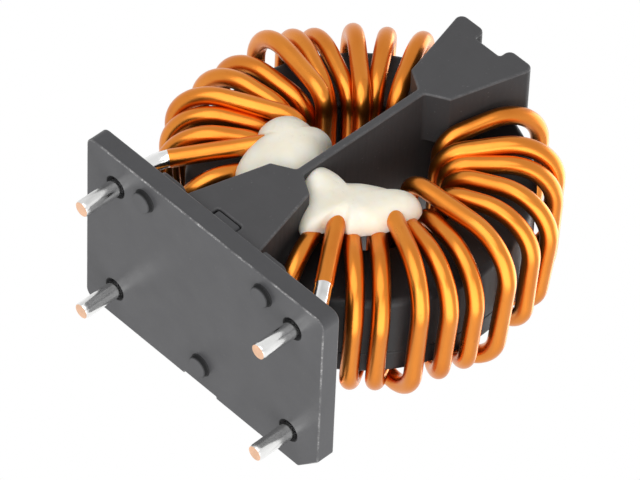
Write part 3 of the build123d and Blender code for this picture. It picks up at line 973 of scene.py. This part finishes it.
class CHOKE_OT_windings(bpy.types.Operator):
    """Two windings of enamelled wire whose tinned ends are the pins"""

    bl_idname = "choke.windings"
    bl_label = "Windings"

    def execute(self, context):
        finishes = context.scene.choke_finishes
        materials = [
            enamelled_copper("enamelled_copper", finishes.enamel, finishes.enamel_dark),
            tinned_wire("tinned_wire", finishes.tin),
            cut_copper("cut_copper", finishes.cut),
        ]
        for name, side, *habits in (
                ("right", 1, RIGHT_FIRST, LEAD_RISE, RIGHT_LEAN, RIGHT_LOOSE, RIGHT_BOW, RIGHT_SINK),
                ("left", -1, LEFT_FIRST, LEFT_LEAD_RISE, LEFT_LEAN, LEFT_LOOSE, LEFT_BOW, LEFT_SINK)):
            line = winding_path(side, *habits)
            points, faces, face_finish, uv = wire_mesh(line, context.scene.choke_sizes.tinned / MM)
            add_piece(f"winding_{name}_wire", f"winding_{name}", points, faces, materials,
                      face_finish=face_finish, corner_uv=uv)
        return {"FINISHED"}


def smooth_loop(corners, steps):
    """Closed curve through the corners: the cubic whose slope at each corner follows its two neighbours."""
    here = np.array(corners)[:, None]
    before, after, beyond = (np.roll(here, shift, axis=0) for shift in (1, -1, -2))
    t = np.linspace(0, 1, steps, endpoint=False)[:, None]
    curve = (2 * here + (after - before) * t + (2 * before - 5 * here + 4 * after - beyond) * t ** 2
             + (3 * here - before - 3 * after + beyond) * t ** 3) / 2
    return curve.reshape(-1, 2)


def bead_mesh(corners, humps, top):
    """A low dome over an outline: floor + (crown - floor) sin w, at a share cos(w)^(2/k) of the way out.

    The crown rises over the humps, each a bell of its own height and spread. The underside is flat.
    """
    outline = smooth_loop(corners, BEAD_STEPS)
    middle = outline.mean(axis=0)
    swing = np.linspace(0, np.pi / 2, BEAD_ROWS)[:-1]
    shares = np.concatenate([BEAD_UNDER_SHARES, np.cos(swing) ** (2 / BEAD_ROUND)])
    rise = np.concatenate([np.zeros(len(BEAD_UNDER_SHARES)), np.sin(swing)])
    flat = middle + shares[:, None, None] * (outline - middle)
    places = np.concatenate([flat.reshape(-1, 2), [middle]])
    crown = top + sum(height * np.exp(-np.sum((places - (x, z)) ** 2, axis=1) / (2 * spread ** 2))
                      for x, z, height, spread in humps)
    tip = np.append(middle, crown[-1])
    level = BEAD_FLOOR + (crown[:-1].reshape(flat.shape[:2]) - BEAD_FLOOR) * rise[:, None]
    rows = np.concatenate([flat, level[..., None]], axis=-1)
    return closed_rows(facing_front(rows), facing_front(np.append(middle, BEAD_FLOOR)), facing_front(tip))


class CHOKE_OT_adhesive(bpy.types.Operator):
    """Two beads of cream adhesive over the first bends, against the separator"""

    bl_idname = "choke.adhesive"
    bl_label = "Adhesive"

    def execute(self, context):
        cream = cream_adhesive("adhesive", context.scene.choke_finishes.adhesive)
        top = context.scene.choke_sizes.bead_top / MM
        for name, corners, humps in (("right", RIGHT_BEAD, RIGHT_HUMPS), ("left", LEFT_BEAD, LEFT_HUMPS)):
            points, faces = bead_mesh(corners, humps, top)
            add_piece(f"glue_{name}_bead", f"glue_{name}", points, faces, [cream])
        return {"FINISHED"}


class CHOKE_OT_core(bpy.types.Operator):
    """Finish of the ferrite ring inside the case"""

    bl_idname = "choke.core"
    bl_label = "Ferrite core"

    def execute(self, context):
        core = frame["nodes"]["ferrite_core"]
        core.data.materials.clear()
        core.data.materials.append(sintered_ferrite("ferrite", context.scene.choke_finishes.ferrite))
        return {"FINISHED"}


def floor_material(colour):
    """Pale matt floor with a faint mottle, open to view from below."""
    finish = Finish("stage_floor", {"Roughness": 0.9, "Specular IOR Level": 0.0})
    mottle = finish.noise(finish.place((0.01, 0.01, 0.01)), 1.0, 3.0)
    finish.colour(finish.mix(finish.span(mottle, 0.3, 0.7, 0.0, 1.0), colour, scaled(colour, 0.985)))
    below = finish.add("ShaderNodeNewGeometry", {}, "Backfacing")
    clear = finish.add("ShaderNodeBsdfTransparent", {})
    chosen = finish.add("ShaderNodeMixShader", {0: below, 1: finish.shader.outputs[0], 2: clear})
    finish.feed(finish.tree.nodes["Material Output"].inputs["Surface"], chosen)
    return finish.material


def studio_room(level):
    """White to the camera and through glass, dimmer in front for gloss, and a plain level on all else."""
    world = bpy.data.worlds.new("studio_room")
    world.use_nodes = True
    room = Nodes(world.node_tree)
    direction = room.add("ShaderNodeTexCoord", {}, "Generated")
    gloss = room.span(room.add("ShaderNodeSeparateXYZ", {0: direction}, "Y"), *GLOSS_SPAN, GLOSS_FRONT, 1.0)
    rays = room.tree.nodes.new("ShaderNodeLightPath").outputs
    strength = level
    for ray, seen in (("Is Glossy Ray", gloss), ("Is Transmission Ray", 1.0), ("Is Camera Ray", 1.0)):
        strength = room.add("ShaderNodeMix", {0: rays[ray], 2: strength, 3: seen})
    background = room.tree.nodes["Background"]
    room.feed(background.inputs["Color"], (1.0, 1.0, 1.0))
    room.feed(background.inputs["Strength"], strength)
    return world


def soft_light(name, towards, size, level, middle):
    """A square light facing the part. At level 1 alone it shows a facing colour as it is written."""
    data = bpy.data.lights.new(name, "AREA")
    data.shape = "SQUARE"
    data.size = size
    data.energy = level * np.pi ** 2 * LIGHT_DISTANCE ** 2
    light = bpy.data.objects.new(name, data)
    direction = Vector(towards).normalized()
    light.location = middle + direction * LIGHT_DISTANCE
    light.rotation_euler = direction.to_track_quat("Z", "Y").to_euler()
    bpy.context.scene.collection.objects.link(light)


class CHOKE_OT_stage(bpy.types.Operator):
    """Camera, soft lights, room light and floor"""

    bl_idname = "choke.stage"
    bl_label = "Stage"

    def execute(self, context):
        scene, stage = context.scene, context.scene.choke_stage
        scene.view_settings.view_transform = "Standard"
        data = bpy.data.cameras.new("photo_camera")
        data.lens = stage.lens
        data.sensor_width = CAMERA_SENSOR
        data.clip_start = CAMERA_CLIP
        camera = bpy.data.objects.new("photo_camera", data)
        axes = Matrix((CAMERA_RIGHT, CAMERA_UP, CAMERA_BACK)).transposed().to_4x4()
        camera.matrix_world = Matrix.Translation(CAMERA_PLACE) @ axes
        scene.collection.objects.link(camera)
        scene.camera = camera
        middle = (Vector(CAD_BOX[0]) + Vector(CAD_BOX[1])) / 2
        soft_light("key_softbox", *KEY_LIGHT, stage.key_level, middle)
        soft_light("side_softbox", *SIDE_LIGHT, stage.side_level, middle)
        soft_light("top_softbox", *TOP_LIGHT, stage.top_level, middle)
        scene.world = studio_room(stage.room_level)
        mesh = bpy.data.meshes.new("stage_floor")
        level = CAD_BOX[0][2] - FLOOR_GAP * MM
        corners = [(x * FLOOR_REACH, y * FLOOR_REACH, level) for x, y in ((-1, -1), (1, -1), (1, 1), (-1, 1))]
        mesh.from_pydata(corners, [], [(0, 1, 2, 3)])
        mesh.materials.append(floor_material(stage.floor))
        floor = bpy.data.objects.new("stage_floor", mesh)
        floor.visible_shadow = floor.visible_diffuse = floor.visible_glossy = floor.visible_transmission = False
        scene.collection.objects.link(floor)
        return {"FINISHED"}


OPERATORS = (CHOKE_OT_base_plate, CHOKE_OT_separator, CHOKE_OT_case, CHOKE_OT_core, CHOKE_OT_windings,
             CHOKE_OT_adhesive, CHOKE_OT_stage)
GROUPS = {"choke_sizes": ChokeSizes, "choke_finishes": ChokeFinishes, "choke_stage": ChokeStage}


class CHOKE_PT_panel(bpy.types.Panel):
    """The choke's pieces and settings"""

    bl_idname = "CHOKE_PT_panel"
    bl_label = "Toroid choke"
    bl_space_type = "VIEW_3D"
    bl_region_type = "UI"
    bl_category = "Choke"

    def draw(self, context):
        for operator in OPERATORS:
            self.layout.operator(operator.bl_idname)
        for group, kind in GROUPS.items():
            box = self.layout.box()
            for name in kind.__annotations__:
                box.prop(getattr(context.scene, group), name)


def register():
    for kind in (*GROUPS.values(), *OPERATORS, CHOKE_PT_panel):
        bpy.utils.register_class(kind)
    for name, kind in GROUPS.items():
        setattr(bpy.types.Scene, name, PointerProperty(type=kind))


def unregister():
    for name in GROUPS:
        delattr(bpy.types.Scene, name)
    for kind in reversed((*GROUPS.values(), *OPERATORS, CHOKE_PT_panel)):
        bpy.utils.unregister_class(kind)


def main():
    """Makes all pieces and the stage."""
    register()
    bpy.ops.choke.base_plate()
    bpy.ops.choke.separator()
    bpy.ops.choke.case()
    bpy.ops.choke.core()
    bpy.ops.choke.windings()
    bpy.ops.choke.adhesive()
    bpy.ops.choke.stage()


if __name__ == "__main__":
    main()
